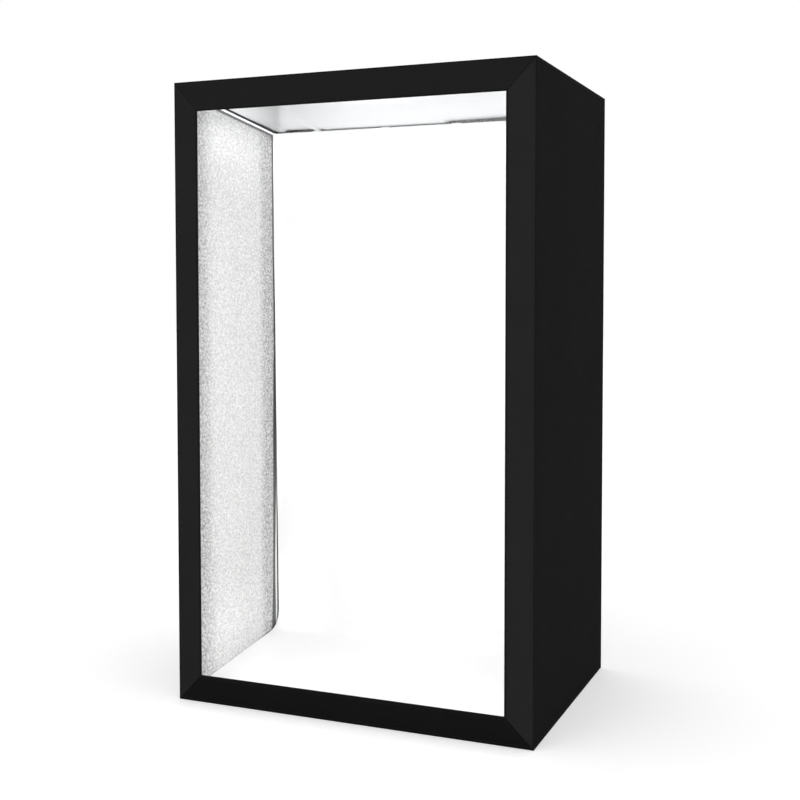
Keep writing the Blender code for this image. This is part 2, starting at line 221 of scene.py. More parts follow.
def set_stops(ramp, stops):
    while len(ramp.elements) < len(stops):
        ramp.elements.new(1.0)
    for element, (position, level) in zip(ramp.elements, stops):
        element.position = position
        element.color = (level, level, level, 1.0)


class ShaderNodes:
    """The nodes of a material or of the world, added one by one around its shader."""

    def __init__(self, owner, shader, constants):
        owner.use_nodes = True
        self.tree = owner.node_tree
        self.shader = self.tree.nodes[shader]
        for socket, value in constants.items():
            self.shader.inputs[socket.replace("_", " ")].default_value = value

    def node(self, kind, settings, sockets, output=0):
        """Add one node: its settings first, then the values or links of its sockets."""
        made = self.tree.nodes.new(kind)
        for setting, value in settings.items():
            if setting == "stops":
                set_stops(made.color_ramp, value)
            else:
                setattr(made, setting, value)
        for socket, value in sockets.items():
            if isinstance(value, Field):
                self.tree.links.new(value.socket, made.inputs[socket])
            else:
                made.inputs[socket].default_value = value
        return Field(self, made.outputs[output])

    def maths(self, operation, *values):
        return self.node("ShaderNodeMath", {"operation": operation}, dict(enumerate(values)))

    def smallest(self, first, second):
        return self.maths("MINIMUM", first, second)

    def largest(self, first, second):
        return self.maths("MAXIMUM", first, second)

    def feed(self, socket, value):
        self.tree.links.new(value.socket, self.shader.inputs[socket])


class Finish(ShaderNodes):
    """A Principled material that is put together node by node."""

    def __init__(self, name, **constants):
        self.material = bpy.data.materials.new(name)
        super().__init__(self.material, "Principled BSDF", constants)
        self.place = self.node("ShaderNodeTexCoord", {}, {}, "Object")

    def axes(self):
        split = self.node("ShaderNodeSeparateXYZ", {}, {"Vector": self.place})
        outputs = split.socket.node.outputs
        return [Field(self, outputs[axis]) for axis in "XYZ"]

    def sine(self, value):
        return self.maths("SINE", value)

    def ramp(self, value, *stops):
        return self.node("ShaderNodeValToRGB", {"stops": stops}, {"Fac": value})

    def noise(self, size, detail=2.0, stretch=None):
        """Cloudy noise whose lumps are about one size across."""
        place = self.place
        if stretch:
            place = self.node("ShaderNodeMapping", {}, {"Vector": place, "Scale": stretch})
        return self.node("ShaderNodeTexNoise", {}, {
            "Vector": place, "Scale": 1 / size, "Detail": detail})

    def weave(self, pitch):
        """Crossed threads on whichever way the cloth faces."""
        turn = 2 * math.pi / pitch
        x, y, z = self.axes()
        return self.sine(x * turn) + self.sine(y * turn) + self.sine(z * turn)

    def grey(self, socket, level, colour):
        """Feed a colour whose brightness follows a field."""
        shaded = self.node("ShaderNodeVectorMath", {"operation": "SCALE"}, {
            "Vector": colour, "Scale": level})
        self.feed(socket, shaded)

    def tint(self, factor, dark, light):
        mixed = self.node("ShaderNodeMix", {"data_type": "RGBA"}, {
            0: factor, 6: (*dark, 1.0), 7: (*light, 1.0)}, 2)
        self.feed("Base Color", mixed)

    def complete(self, roughness, height, strength, distance):
        """Feed the roughness and the bump, and hand over the material."""
        self.feed("Roughness", roughness)
        self.feed("Normal", self.node("ShaderNodeBump", {}, {
            "Height": height, "Strength": strength, "Distance": distance}, "Normal"))
        return self.material


def scaled(colour, factor):
    return tuple(channel * factor for channel in colour)


def cloth_finish(name, colour):
    """Matt woven cloth with slow shade changes, lint and a fine weave."""
    thread_pitch = 0.0012
    finish = Finish(name, Specular_IOR_Level=0.015)
    patches = finish.noise(0.22, 3.0)
    lint = finish.noise(0.004)
    shade = finish.ramp(patches * 0.75 + lint * 0.25, (0.30, 0.0), (0.70, 1.0))
    finish.tint(shade, scaled(colour, 0.93), scaled(colour, 1.07))
    roughness = finish.noise(0.03) * 0.12 + 0.79
    return finish.complete(roughness, finish.weave(thread_pitch) * 0.25 + lint, 0.25, 0.0004)


def silver_finish():
    """Silver film with a pebble grain and painted shade: darker bands along its front and rear
    edges, where the grain is coarser.
    """
    grain = sizes().grain_size
    shaded_run = 0.30
    foot_widening = 0.045
    flat_level = 0.80
    finish = Finish("silver_film", Metallic=0.3, Specular_IOR_Level=0.4)
    _, y, z = finish.axes()
    front_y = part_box("lining_left")[0].y
    rod_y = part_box("backdrop_rod")[0].y
    # Painted shade: darker bands along the front and rear edges, the front one wider towards the
    # foot
    painted_front_shade = finish.ramp(
        (y - front_y) / shaded_run - (1.0 - z) * foot_widening,
        (0.238, 0.575), (0.308, 0.62), (0.383, 0.68), (0.448, 0.745), (0.511, 0.785),
        (0.571, flat_level))
    painted_rear_shade = finish.ramp(
        (rod_y - y) / shaded_run,
        (0.08, 0.59), (0.20, 0.585), (0.29, 0.60), (0.364, 0.70), (0.42, 0.80), (0.47, 0.845),
        (0.55, 0.83), (0.70, flat_level))
    shade = finish.smallest(painted_front_shade, painted_rear_shade)
    coarse = finish.noise(grain, stretch=(1.0, 0.7, 1.0))
    fine = finish.noise(grain * 0.45)
    patches = finish.noise(0.09, stretch=(1.0, 1.0, 0.5))
    spots = (coarse * 0.6 + fine * 0.4 - 0.5) * ((flat_level - shade) * 4 + 1.25)
    level = shade + spots + (patches - 0.5) * 0.05
    finish.grey("Base Color", finish.smallest(level, 1.1), colours().silver)
    return finish.complete(fine * 0.3 + 0.35, coarse + fine * 0.5, 0.35, 0.0012)


def white_sheet_finish():
    """Matt white sheet with a faint grain."""
    white = colours().white
    finish = Finish("white_sheet", Specular_IOR_Level=0.25)
    grain = finish.noise(0.0015, 3.0)
    clouds = finish.noise(0.30)
    finish.tint(clouds * 0.6 + grain * 0.4, scaled(white, 0.985), white)
    return finish.complete(grain * 0.15 + 0.55, grain, 0.15, 0.0003)


def diffuser_finish():
    """White diffusion cloth, lit from above, with painted shade in its colour and glow along a line
    from its left rear corner forward.
    """
    shade_line_run = 0.53
    glow = colours().glow
    finish = Finish("diffusion_cloth", Specular_IOR_Level=0.2, Emission_Strength=0.12)
    x, y, _ = finish.axes()
    low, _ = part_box("ceiling_diffuser")
    rod_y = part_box("backdrop_rod")[0].y
    # Painted shade: darker towards a line from the left rear corner forward, in both the colour and
    # the glow
    past_shade_line = (x - low.x) - (rod_y - y) * shade_line_run
    painted_light = finish.ramp(
        (past_shade_line + 0.15) / 0.60, (0.0, 0.88), (0.087, 0.73), (0.165, 0.61), (0.243, 0.505),
        (0.262, 0.545), (0.283, 0.69), (0.322, 0.765), (0.40, 0.775), (0.532, 0.84), (0.663, 0.90),
        (0.80, 0.94))
    level = painted_light + (finish.noise(0.02) - 0.5) * 0.03
    finish.grey("Base Color", level * 0.92, glow)
    finish.grey("Emission Color", painted_light, glow)
    return finish.complete(finish.noise(0.01) * 0.1 + 0.7, finish.weave(0.0009), 0.1, 0.0002)


def tape_finish(name, colour, glow=0.0):
    """Ribbed woven tape, with the light that comes through it where it is white."""
    finish = Finish(name, Specular_IOR_Level=0.12, Emission_Strength=glow)
    ribs = finish.weave(0.0016)
    finish.tint(finish.noise(0.01), scaled(colour, 0.9), scaled(colour, 1.1))
    return finish.complete(finish.noise(0.02) * 0.1 + 0.7, ribs, 0.3, 0.0003)


def painted_steel_finish():
    """Grey paint with a slight orange peel and a few rubbed places."""
    finish = Finish("painted_steel", Specular_IOR_Level=0.5)
    rubbed = finish.ramp(finish.noise(0.05, 5.0), (0.62, 0.0), (0.70, 1.0))
    finish.tint(rubbed, (0.52, 0.53, 0.54), (0.38, 0.38, 0.38))
    finish.feed("Metallic", rubbed * 0.7)
    return finish.complete(finish.noise(0.01) * 0.1 + 0.32, finish.noise(0.0025), 0.15, 0.0003)


def moulded_finish(name, colour, roughness):
    """Moulded plastic with a fine spark-eroded grain."""
    finish = Finish(name, Specular_IOR_Level=0.4)
    grain = finish.noise(0.0009, 3.0)
    finish.tint(finish.noise(0.03), scaled(colour, 0.92), scaled(colour, 1.08))
    return finish.complete(grain * 0.15 + (roughness - 0.07), grain, 0.25, 0.0002)


def aluminium_finish():
    """Satin anodised extrusion, with its drawing lines along the bar."""
    finish = Finish("satin_aluminium", Metallic=1.0)
    lines = finish.noise(0.0008, 4.0, (0.02, 1.0, 1.0))
    finish.tint(lines, (0.70, 0.71, 0.72), (0.84, 0.85, 0.86))
    return finish.complete(lines * 0.2 + 0.24, lines, 0.1, 0.0002)


def lens_finish():
    """Frosted strip, lit by the LEDs above it."""
    finish = Finish("frosted_lens", Specular_IOR_Level=0.4, Emission_Strength=1.5)
    grain = finish.noise(0.0012, 3.0)
    finish.tint(grain, (0.88, 0.90, 0.92), (0.95, 0.96, 0.97))
    finish.shader.inputs["Emission Color"].default_value = (0.95, 0.98, 1.0, 1.0)
    return finish.complete(grain * 0.2 + 0.4, grain, 0.2, 0.0002)


def led_board_finish(board):
    """White board with yellow chips on its under side."""
    low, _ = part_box(board)
    finish = Finish(f"{board}_finish", Specular_IOR_Level=0.4)
    _, _, z = finish.axes()
    under = finish.ramp((z - low.z) / 0.0016, (0.40, 1.0), (0.50, 0.0))
    finish.tint(under, (0.88, 0.89, 0.88), (0.90, 0.66, 0.12))
    return finish.complete(finish.noise(0.003) * 0.2 + 0.3, finish.noise(0.0008), 0.1, 0.0002)


def dress(node, material):
    """Give a node of the frame its finish."""
    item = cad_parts[node]
    item.data.materials.clear()
    item.data.materials.append(material)


def add_object(name, data):
    item = bpy.data.objects.new(name, data)
    bpy.context.scene.collection.objects.link(item)
    return item


def object_from(name, mesh, material):
    """A piece that belongs to the box."""
    piece = add_object(name, mesh)
    mesh.materials.clear()
    mesh.materials.append(material)
    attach(piece, BOX_BODY)
    return piece


def mesh_piece(name, points, faces, material):
    """A closed smooth piece of the box from its points and faces."""
    mesh = bpy.data.meshes.new(name)
    mesh.from_pydata(points, [], faces)
    turn_outward(mesh)
    mesh.shade_smooth()
    mesh.set_sharp_from_angle(angle=math.radians(40))
    return object_from(name, mesh, material)


def turn_outward(mesh):
    shape = bmesh.new()
    shape.from_mesh(mesh)
    bmesh.ops.recalc_face_normals(shape, faces=shape.faces)
    shape.to_mesh(mesh)
    shape.free()


def closed_grid(name, front, back, material):
    """A closed sheet between two grids of points, of shape rows by columns by 3."""
    count = front[..., 0].size
    at = np.arange(count).reshape(front.shape[:2])
    cells = np.stack((at[:-1, :-1], at[1:, :-1], at[1:, 1:], at[:-1, 1:]), axis=-1).reshape(-1, 4)
    sides = np.stack((cells, cells[:, ::-1] + count), axis=1).reshape(-1, 4)
    rim = np.concatenate((at[:, 0], at[-1, 1:], at[-2::-1, -1], at[0, -2:0:-1]))
    before = np.roll(rim, 1)
    walls = np.stack((before, rim, rim + count, before + count), axis=1)
    points = np.concatenate((front.reshape(-1, 3), back.reshape(-1, 3)))
    return mesh_piece(name, points.tolist(), np.concatenate((sides, walls)).tolist(), material)


def spaced(length, cell):
    """Places along an edge: close together at both ends, then even."""
    fine_shares = (0.0, 0.05, 0.12, 0.22, 0.36, 0.6)
    start = [share * cell for share in fine_shares]
    middle = np.linspace(cell, length - cell, max(2, round((length - 2 * cell) / cell) + 1))
    end = [length - place for place in reversed(start)]
    return np.concatenate((start, middle, end))


def smooth_step(value):
    share = np.clip(value, 0, 1)
    return share * share * (3 - 2 * share)


def part_way(start, end, share):
    return start * (1 - share) + end * share


def rounding(distance, radius):
    """How far a rounded edge falls away at a distance in from it."""
    inside = np.clip(1 - distance / radius, 0, 1)
    return radius * (1 - np.sqrt(1 - inside ** 2))


def ripples(first, second, size, seed, waves=9):
    """Smooth noise from sine waves of one size that run in random directions."""
    chance = np.random.RandomState(seed)
    total = np.zeros_like(first)
    for _ in range(waves):
        angle = chance.uniform(0, math.pi)
        phase = chance.uniform(0, 2 * math.pi)
        rate = 2 * math.pi / (size * chance.uniform(0.7, 1.5))
        total += np.sin(rate * (first * math.cos(angle) + second * math.sin(angle)) + phase)
    return total / math.sqrt(waves)


class FlatSheet:
    """A grid over a flat node of the frame, whose points move out from the node's outer face."""

    def __init__(self, node, normal_axis, outward, cells):
        low, high = (np.array(corner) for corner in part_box(node))
        self.outward = outward
        self.low = low
        self.face = (high if outward > 0 else low)[normal_axis]
        self.axes = [axis for axis in range(3) if axis != normal_axis] + [normal_axis]
        self.width, self.height, self.thickness = (high - low)[self.axes]
        self.flat = (float(self.width), float(self.height))
        self.first, self.second = np.meshgrid(
            spaced(self.width, cells[0]), spaced(self.height, cells[1]), indexing="ij")
        self.near = np.minimum(np.minimum(self.first, self.width - self.first),
                               np.minimum(self.second, self.height - self.second))

    def layer(self, relief):
        """The grid's points, moved out by a relief."""
        first_axis, second_axis, normal_axis = self.axes
        points = np.zeros((*self.first.shape, 3))
        points[..., first_axis] = self.low[first_axis] + self.first
        points[..., second_axis] = self.low[second_axis] + self.second
        points[..., normal_axis] = self.face + self.outward * relief
        return points

    def piece(self, name, relief, wall, material):
        """A closed sheet with the relief on its outer side and a wall's depth behind it."""
        return closed_grid(name, self.layer(relief), self.layer(relief - wall), material)


def panel_relief(sheet, slack, seed):
    """A stretched panel: dips between the tubes, pulls at its corners, puckers at its seams."""
    tube_margin, dip_run, dip_length = 0.03, 0.15, 0.55
    pulls_round, pull_reach, pull_start, pull_height = 26, 0.12, 0.08, 0.0005
    pucker_length, pucker_reach, pucker_height = 0.035, 0.012, 0.00016
    full_slack = 0.002
    first, second, near = sheet.first, sheet.second, sheet.near
    held = smooth_step((near - tube_margin) / dip_run)
    dip = -slack * held * (0.7 + 0.3 * ripples(first, second, dip_length, seed))
    pulls = np.zeros_like(first)
    for corner_first in (0, sheet.width):
        for corner_second in (0, sheet.height):
            away = np.hypot(first - corner_first, second - corner_second)
            bearing = np.arctan2(second - corner_second, first - corner_first)
            fan = np.sin(bearing * pulls_round) * np.exp(-away / pull_reach)
            pulls += fan * np.clip(away / pull_start, 0, 1)
    pucker = ripples(first, second, pucker_length, seed + 1) * np.exp(-near / pucker_reach)
    loose = min(slack / full_slack, 1)
    creases = (pulls * pull_height * held ** 0.3 + pucker * pucker_height) * loose
    return dip + creases - rounding(near, sizes().edge_round)


def make_panel(side, normal_axis, outward, slack, material, seed):
    """A cloth panel that stands for a flat node of the cover."""
    cell = sizes().cloth_cell
    sheet = FlatSheet(f"cover_{side}", normal_axis, outward, (cell, cell))
    relief = panel_relief(sheet, slack, seed)
    wall = sheet.thickness - rounding(sheet.near, sizes().edge_round)
    wall = np.maximum(wall, sheet.thickness / 2)
    piece = sheet.piece(f"cloth_{side}", relief, wall, material)
    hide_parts(f"cover_{side}")


def rectangle_corners(low, high):
    """The four corners of a rectangle, in order."""
    return (low[0], low[1]), (high[0], low[1]), (high[0], high[1]), (low[0], high[1])


def swept_strip(name, rings, closed, material):
    """A sewn strip through rings of points: closed on itself, or capped at its two ends."""
    count = len(rings[0])
    faces = []
    for index in range(len(rings) if closed else len(rings) - 1):
        start = index * count
        following = (index + 1) % len(rings) * count
        for place in range(count):
            after = (place + 1) % count
            faces.append((start + place, start + after, following + after, following + place))
    if not closed:
        last = (len(rings) - 1) * count
        faces += [tuple(range(count)), tuple(range(last, last + count))]
    points = [point for ring in rings for point in ring]
    mesh_piece(name, points, faces, material)


def loop_frame(name, low, high, profile, material):
    """A closed band round a rectangle that faces -Y, mitred at its corners.

    The profile's points are how far they lie out from the rectangle, and their Y.
    """
    corners = zip(rectangle_corners(low, high), rectangle_corners((-1, -1), (1, 1)))
    rings = [[(x + x_way * out, y, z + z_way * out) for out, y in profile]
             for (x, z), (x_way, z_way) in corners]
    swept_strip(name, rings, True, material)


def round_profile(radius, sides=10):
    turns = [2 * math.pi * step / sides for step in range(sides)]
    return [(radius * math.cos(turn), radius * math.sin(turn)) for turn in turns]


def make_cover():
    """The five cloth panels."""
    cloth = cloth_finish("cover_cloth", colours().cover)
    slack = sizes().cover_slack
    panels = (("left", 0, -1, slack), ("right", 0, 1, slack), ("bottom", 2, -1, 0.0),
              ("top", 2, 1, slack), ("rear", 1, 1, slack))
    for seed, panel in enumerate(panels):
        make_panel(*panel, cloth, 10 * seed)


def make_piping():
    """Piped seams along the twelve outer edges of the cover."""
    tape = tape_finish("piping_tape", colours().piping)
    radius = sizes().piping_radius
    inset = radius * 0.6
    half_x = BOX_HIGH.x - inset
    low_z = radius
    high_z = BOX_HIGH.z - inset
    start_y = BOX_LOW.y + inset
    end_y = BOX_HIGH.y - inset
    profile = round_profile(radius)
    for name, y in (("piping_front", start_y), ("piping_rear", end_y)):
        loop_frame(name, (-half_x, low_z), (half_x, high_z),
                   [(out, y + along) for out, along in profile], tape)
    for side, way in SIDES:
        for level, z in (("bottom", low_z), ("top", high_z)):
            rings = [[(way * half_x + across, y, z + up) for across, up in profile]
                     for y in (start_y + radius, end_y - radius)]
            swept_strip(f"piping_{level}_{side}", rings, False, tape)


def flap_width(side):
    return getattr(sizes(), f"{side}_flap")


def opening():
    """The front opening's low and high corners in X and Z."""
    return ((BOX_LOW.x + flap_width("left"), BOX_LOW.z + flap_width("bottom")),
            (BOX_HIGH.x - flap_width("right"), BOX_HIGH.z - flap_width("top")))


def flap_corners(side):
    """Outer and inner ends of a flap: outer start, outer end, inner start, inner end."""
    low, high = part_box(f"flap_{side}")
    (left, foot), (right, top) = opening()
    gap = 0.00015
    if side in ("left", "right"):
        outer, inner = (low.x, left) if side == "left" else (high.x, right)
        return (outer, low.z), (outer, high.z), (inner, foot + gap), (inner, top - gap)
    outer, inner = (high.z, top) if side == "top" else (low.z, foot)
    return (low.x, outer), (high.x, outer), (left + gap, inner), (right - gap, inner)


def make_flap(side, material, seed):
    """A mitred flap with soft edges, a folded hem and a slightly uneven face."""
    hem_width, hem_run, hem_height = 0.013, 0.0015, 0.00035
    sway_height, pucker_height, pucker_reach = 0.0003, 0.00012, 0.010
    outer_start, outer_end, inner_start, inner_end = map(np.array, flap_corners(side))
    low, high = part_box(f"flap_{side}")
    length = np.linalg.norm(outer_end - outer_start)
    width = flap_width(side)
    along, across = np.meshgrid(spaced(length, 0.016), spaced(width, 0.010), indexing="ij")
    share_along = (along / length)[..., None]
    share_across = (across / width)[..., None]
    plan = part_way(part_way(outer_start, outer_end, share_along),
                    part_way(inner_start, inner_end, share_along), share_across)
    mitre = np.minimum(along, length - along) * (1 - 2 * width / length * share_across[..., 0])
    near = np.minimum(np.minimum(across, width - across), mitre / math.sqrt(2))
    hem = np.clip((across - (width - hem_width)) / hem_run, 0, 1) * hem_height
    sway = ripples(along, across * 2, 0.35, seed) * sway_height
    pucker = ripples(along, across, 0.03, seed + 1) * pucker_height * np.exp(-near / pucker_reach)
    relief = hem + sway + pucker - rounding(near, sizes().edge_round)
    front = np.stack((plan[..., 0], low.y - relief, plan[..., 1]), axis=-1)
    back = front.copy()
    back[..., 1] = high.y
    piece = closed_grid(f"cloth_flap_{side}", front, back, material)
    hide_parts(f"flap_{side}")
    float((length - width) * width)


def make_front():
    """The four flaps, each given painted shade by its own lighter or darker black, and the binding.
    """
    flap = colours().flap
    # Painted shade: each flap's black is scaled for how the light falls on it
    painted_shades = {"left": 1.32, "right": 1.48, "top": 1.10, "bottom": 0.62}
    for seed, (side, share) in enumerate(painted_shades.items()):
        cloth = cloth_finish(f"flap_cloth_{side}", scaled(flap, share))
        make_flap(side, cloth, 50 + 10 * seed)
    tape = bpy.data.materials["piping_tape"]
    low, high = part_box("flap_top")
    width = sizes().binding_width
    lip, back_lip, bend = 0.0007, 0.0003, 0.0006
    front_y = low.y - lip
    rear_y = high.y + back_lip
    profile = [(-lip, front_y + bend), (-lip + bend, front_y), (width - bend, front_y)]
    profile += [(width, front_y + bend), (width, rear_y - bend), (width - bend, rear_y)]
    profile += [(-lip + bend, rear_y), (-lip, rear_y - bend)]
    loop_frame("opening_binding", *opening(), profile, tape)


def square_lines(corners):
    """The four lines from each corner to the next."""
    return [[corner, corners[index - 1]] for index, corner in enumerate(corners)]


def seam_lines():
    """Stitch lines on the front and on the side, top and rear panels, as pairs of points."""
    lines = []
    in_from_edge = 0.009
    thread_lift = 0.0002
    front_y = BOX_LOW.y - thread_lift
    for side in ("left", "right", "top", "bottom"):
        outer_start, outer_end, inner_start, inner_end = map(np.array, flap_corners(side))
        hem_share = in_from_edge / flap_width(side)
        for share in (hem_share, 1 - hem_share):
            start = part_way(outer_start, inner_start, share)
            end = part_way(outer_end, inner_end, share)
            lines.append([(start[0], front_y, start[1]), (end[0], front_y, end[1])])
    inset = Vector((in_from_edge,) * 3)
    low, high = BOX_LOW + inset, BOX_HIGH - inset
    skin = in_from_edge + thread_lift
    for x in (low.x - skin, high.x + skin):
        lines += square_lines([(x, y, z) for y, z in rectangle_corners(low.yz, high.yz)])
    lines += square_lines([(x, high.y + skin, z) for x, z in rectangle_corners(low.xz, high.xz)])
    lines += square_lines([(x, y, high.z + skin) for x, y in rectangle_corners(low.xy, high.xy)])
    return lines


def stitch_tree():
    """Geometry Nodes: one stitch after another along every edge of the mesh."""
    tree = bpy.data.node_groups.new("stitch_row", "GeometryNodeTree")
    sockets = (("Geometry", "INPUT", "Geometry"), ("Pitch", "INPUT", "Float"),
               ("Length", "INPUT", "Float"), ("Radius", "INPUT", "Float"),
               ("Thread", "INPUT", "Material"), ("Geometry", "OUTPUT", "Geometry"))
    for name, way, kind in sockets:
        tree.interface.new_socket(name, in_out=way, socket_type=f"NodeSocket{kind}")

    def node(kind, **settings):
        made = tree.nodes.new(kind)
        for setting, value in settings.items():
            setattr(made, setting, value)
        return made

    entry = node("NodeGroupInput")
    leave = node("NodeGroupOutput")
    curve = node("GeometryNodeMeshToCurve")
    points = node("GeometryNodeCurveToPoints", mode="LENGTH")
    stitch = node("GeometryNodeMeshUVSphere")
    stitch.inputs["Segments"].default_value = 5
    stitch.inputs["Rings"].default_value = 4
    stitch.inputs["Radius"].default_value = 1.0
    shape = node("ShaderNodeCombineXYZ")
    half = node("ShaderNodeMath", operation="MULTIPLY")
    half.inputs[1].default_value = 0.5
    stretch = node("GeometryNodeTransform")
    instance = node("GeometryNodeInstanceOnPoints")
    real = node("GeometryNodeRealizeInstances")
    paint = node("GeometryNodeSetMaterial")
    links = (
        (entry, "Geometry", curve, "Mesh"), (curve, "Curve", points, "Curve"),
        (entry, "Pitch", points, "Length"), (entry, "Length", half, 0),
        (entry, "Radius", shape, "X"), (entry, "Radius", shape, "Y"), (half, "Value", shape, "Z"),
        (stitch, "Mesh", stretch, "Geometry"), (shape, "Vector", stretch, "Scale"),
        (points, "Points", instance, "Points"), (points, "Rotation", instance, "Rotation"),
        (stretch, "Geometry", instance, "Instance"), (instance, "Instances", real, "Geometry"),
        (real, "Geometry", paint, "Geometry"), (entry, "Thread", paint, "Material"),
        (paint, "Geometry", leave, "Geometry"),
    )
    for source, output, target, socket in links:
        tree.links.new(source.outputs[output], target.inputs[socket])
    return tree


def stitch_rows(name, lines, material):
    """Plain mesh of the stitches along a list of lines."""
    points = [point for line in lines for point in line]
    edges = [(2 * index, 2 * index + 1) for index in range(len(lines))]
    guide_mesh = bpy.data.meshes.new(f"{name}_guide")
    guide_mesh.from_pydata(points, edges, [])
    guide = add_object(f"{name}_guide", guide_mesh)
    tree = stitch_tree()
    modifier = guide.modifiers.new("stitches", "NODES")
    modifier.node_group = tree
    values = {"Pitch": sizes().stitch_pitch, "Length": sizes().stitch_length,
              "Radius": sizes().stitch_radius, "Thread": material}
    for socket in tree.interface.items_tree:
        if socket.in_out == "INPUT" and socket.name in values:
            modifier[socket.identifier] = values[socket.name]
    graph = bpy.context.evaluated_depsgraph_get()
    mesh = bpy.data.meshes.new_from_object(guide.evaluated_get(graph))
    guide.modifiers.remove(modifier)
    bpy.data.objects.remove(guide)
    mesh.name = name
    mesh.shade_smooth()
    object_from(name, mesh, material)


def make_stitching():
    thread = tape_finish("black_thread", scaled(colours().flap, 1.6))
    stitch_rows("cover_stitching", seam_lines(), thread)


def make_lining(side, outward, material, seed):
    """A silver sheet with soft upright folds and crumples, held flat at its edges, which are
    rounded.
    """
    ripple_height, held_run, edge_radius, wall_share = 0.0002, 0.02, 0.0006, 0.7
    sheet = FlatSheet(f"lining_{side}", 1 if side == "rear" else 0, outward, (0.012, 0.016))
    first, second = sheet.first, sheet.second
    held = np.clip(sheet.near / held_run, 0, 1)
    crumple = ripples(first, second, 0.06, seed)
    upright = ripples(first, second * 0.05, 0.045, seed + 1)
    relief = (crumple + upright) * ripple_height * held - rounding(sheet.near, edge_radius)
    piece = sheet.piece(f"film_{side}", relief, sheet.thickness * wall_share, material)
    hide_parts(f"lining_{side}")


def side_strip(name, x_range, y, z, material):
    """A thin strip that stands along a side lining, between two edges given by their Y and Z."""
    layers = [np.stack(np.broadcast_arrays(x, y, z), axis=-1) for x in x_range]
    return closed_grid(name, *layers, material)


def make_lining_tapes():
    """At the backdrop, each side lining has a dark strip and a dark hem of painted shadow, with a
    plain pale tape between.
    """
    # The dark strips are painted shadow, for the shade in the gap at the backdrop's edge
    seam = tape_finish("seam_grey", (0.13, 0.13, 0.135))
    pale = tape_finish("pale_tape", (0.93, 0.93, 0.89))
    bands = (("seam", seam, 0.0009), ("tape", pale, 0.0007), ("hem", seam, 0.0009))
    low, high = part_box("lining_left")
    rod_low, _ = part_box("backdrop_rod")
    clearance, hem_shadow_reach = 0.0015, 0.015
    wall_y = rod_low.y - clearance
    heights = np.linspace(low.z, rod_low.z, 120)
    shadow_strip_starts = np.interp(heights, TAPE_HEIGHTS, SHADOW_STRIP_STARTS)
    tape_starts = np.interp(heights, TAPE_HEIGHTS, TAPE_STARTS)
    edges = wall_y - np.stack(
        np.broadcast_arrays(shadow_strip_starts, tape_starts, clearance, -hem_shadow_reach), axis=1)
    for side, way in SIDES:
        skin = -way * high.x
        for index, (name, material, lift) in enumerate(bands):
            piece = side_strip(f"lining_{name}_{side}", (skin, skin - way * lift),
                               edges[:, index:index + 2], heights[:, None], material)


def make_linings():
    film = silver_finish()
    for seed, (side, outward) in enumerate((("left", 1), ("right", -1), ("rear", -1))):
        make_lining(side, outward, film, 100 + 10 * seed)
    make_lining_tapes()


def front_tongue(level):
    """Half the width of a sheet between two front corner mouldings, and the Y where it widens."""
    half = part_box(f"corner_front_{level}_right")[0].x - CORNER_CLEARANCE
    return half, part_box("lining_left")[0].y + CORNER_CLEARANCE


def backdrop_line():
    """The middle line of the backdrop in Y and Z, from over the front rail to over the rod.

    With it come the Y where its sweep starts and, for each point, whether it is before the rod.
    """
    low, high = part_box("backdrop_sheet")
    rod_low, rod_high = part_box("backdrop_rod")
    rail_low, rail_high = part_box("rail_front_bottom")
    rod_y = (rod_low.y + rod_high.y) / 2
    rod_z = (rod_low.z + rod_high.z) / 2
    rail_y = (rail_low.y + rail_high.y) / 2
    rail_gap, sweep, narrowing_run, shoulder_step = 0.0005, 0.070, 0.0015, 0.004
    slope, lap_end = math.radians(5.9), math.radians(40)
    wrap = high.z - SHEET_THICKNESS / 2 - rod_z
    wall_y = rod_y - wrap

    def floor_z(y):
        return rail_high.z + rail_gap + SHEET_THICKNESS / 2 + (y - rail_y) * math.tan(slope)

    _, shoulder_y = front_tongue("bottom")
    bend_y = wall_y - sweep + sweep * math.sin(slope)
    bend_z = floor_z(bend_y) + sweep * math.cos(slope)
    floor_places = [low.y, shoulder_y, shoulder_y + shoulder_step]
    floor_places += list(np.linspace(shoulder_y + 0.02, bend_y, 24)[:-1])
    points = [(y, floor_z(y)) for y in floor_places]
    for turn in np.linspace(slope - math.pi / 2, 0, 18):
        points.append((wall_y - sweep + sweep * math.cos(turn), bend_z + sweep * math.sin(turn)))
    points += [(wall_y, z) for z in np.linspace(bend_z, rod_z, 70)[1:]]
    for turn in np.linspace(math.pi, lap_end, 12)[1:]:
        points.append((rod_y + wrap * math.cos(turn), rod_z + wrap * math.sin(turn)))
    line = np.array(points)
    before_rod = smooth_step((wall_y - line[:, 0]) / narrowing_run + 1)
    return line, bend_y, before_rod


def backdrop_halves(line, bend_y, before_rod, cad_half):
    """Half the backdrop's width along its line: wide to near the linings, narrow at the rod."""
    front_reach, bend_reach, widening_run, bend_run = 0.0052, 0.0022, 0.15, 0.06
    y, z = line[:, 0], line[:, 1]
    nearing = smooth_step((y - bend_y + widening_run) / widening_run)
    on_slope = front_reach - (front_reach - bend_reach) * nearing
    on_slope *= 1 - smooth_step((y - bend_y) / bend_run)
    up_wall = np.interp(z, EDGE_HEIGHTS, EDGE_REACHES)
    half = cad_half + (on_slope + up_wall) * before_rod
    half[:2] = front_tongue("bottom")[0]
    return half


